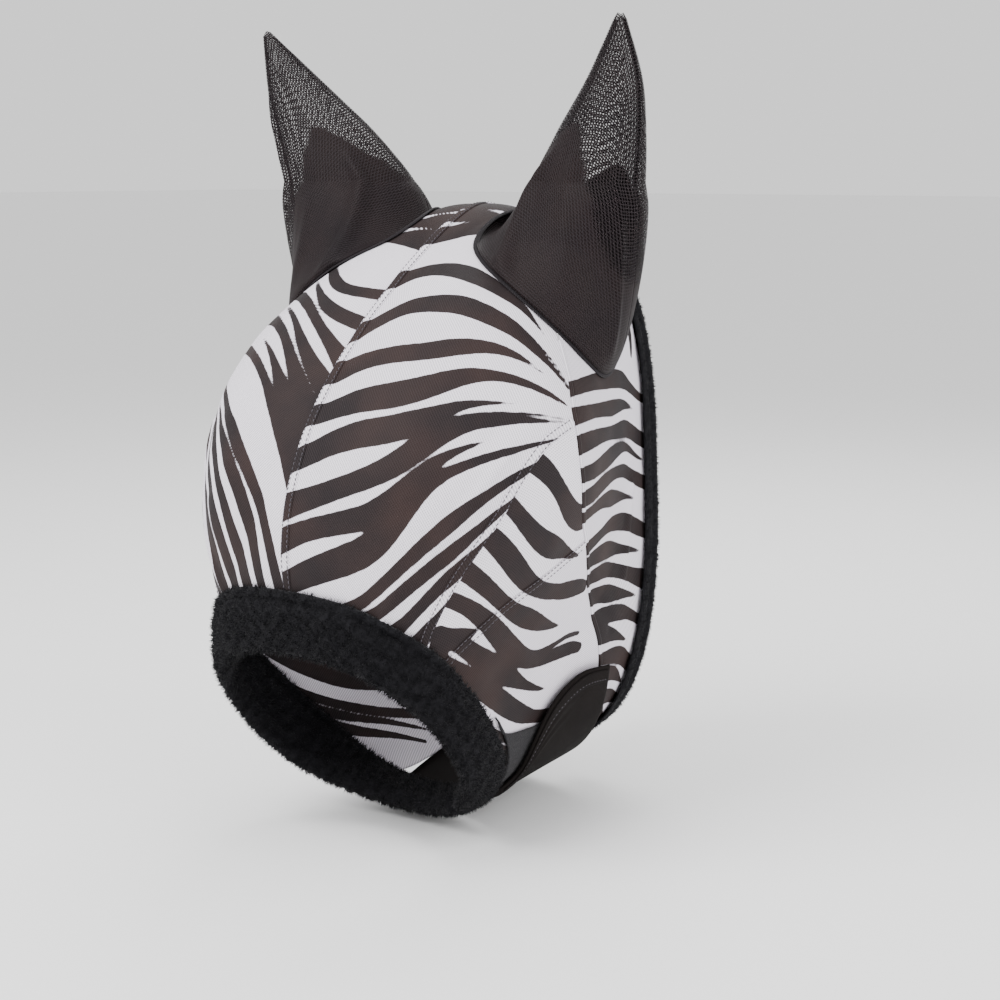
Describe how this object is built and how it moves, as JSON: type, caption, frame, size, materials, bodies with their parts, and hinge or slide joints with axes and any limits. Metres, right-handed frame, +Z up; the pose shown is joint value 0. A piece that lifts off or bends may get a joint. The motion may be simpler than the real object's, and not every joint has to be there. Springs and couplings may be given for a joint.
{
  "type": "horse fly mask",
  "caption": "Horse fly mask: printed mesh hood with eye darts, soft mesh ears, fleece noseband and neck edge, and a wrap-over throat flap.",
  "frame": {"origin": "on the crown between the ears, where the mask rests on the poll, in the middle plane", "axes": "+Z up, the face of the mask looks along -Y, +X is the horse's left side"},
  "size_m": [0.3464, 0.3225, 0.5784],
  "materials": {
    "printed_mesh": "open polyester mesh printed in a white and brown-black stripe",
    "seam_mesh": "felled mesh seam with a double row of stitching",
    "ear_mesh": "soft black knitted mesh",
    "fleece": "dense black fleece pile",
    "closure_tape": "black hook-and-loop tape",
    "flap_cloth": "smooth black laminated cloth"
  },
  "bodies": {
    "shell": {"centre_seam": "seam_mesh", "cheek_seam_left": "seam_mesh", "cheek_seam_right": "seam_mesh", "dart_seam_left": "seam_mesh", "dart_seam_right": "seam_mesh", "ear_hole_seam_left": "seam_mesh", "ear_hole_seam_right": "seam_mesh", "eye_panel_left": "printed_mesh", "eye_panel_right": "printed_mesh", "face_panel_left": "printed_mesh", "face_panel_right": "printed_mesh", "jaw_panel_left": "printed_mesh", "jaw_panel_right": "printed_mesh", "jaw_seam_left": "seam_mesh", "jaw_seam_right": "seam_mesh", "loop_tape": "closure_tape", "neck_fleece": "fleece", "noseband_fleece": "fleece", "rear_cheek_panel_left": "printed_mesh", "rear_cheek_panel_right": "printed_mesh"},
    "ear_left": {"ear_front_left": "ear_mesh", "ear_back_left": "ear_mesh", "ear_outer_seam_left": "ear_mesh", "ear_inner_seam_left": "ear_mesh"},
    "ear_right": {"ear_front_right": "ear_mesh", "ear_back_right": "ear_mesh", "ear_outer_seam_right": "ear_mesh", "ear_inner_seam_right": "ear_mesh"},
    "throat_flap": {"throat_flap": "flap_cloth", "hook_tape": "closure_tape", "flap_binding": "closure_tape"}
  },
  "joints": [
    {"name": "ear_left_tilt", "type": "hinge", "parent": "shell", "child": "ear_left", "pos_m": [0.088, -0.005, -0.062], "axis": [1, 0, 0], "range_deg": [-6, 10], "stiffness_Nm_per_rad": 0.6},
    {"name": "ear_right_tilt", "type": "hinge", "parent": "shell", "child": "ear_right", "pos_m": [-0.088, -0.005, -0.062], "axis": [1, 0, 0], "range_deg": [-6, 10], "stiffness_Nm_per_rad": 0.6},
    {"name": "throat_flap_open", "type": "hinge", "parent": "shell", "child": "throat_flap", "pos_m": [-0.0475, 0.017, -0.4297], "axis": [-0.1103, 0.9708, 0.2132], "range_deg": [0, 110]}
  ]
}
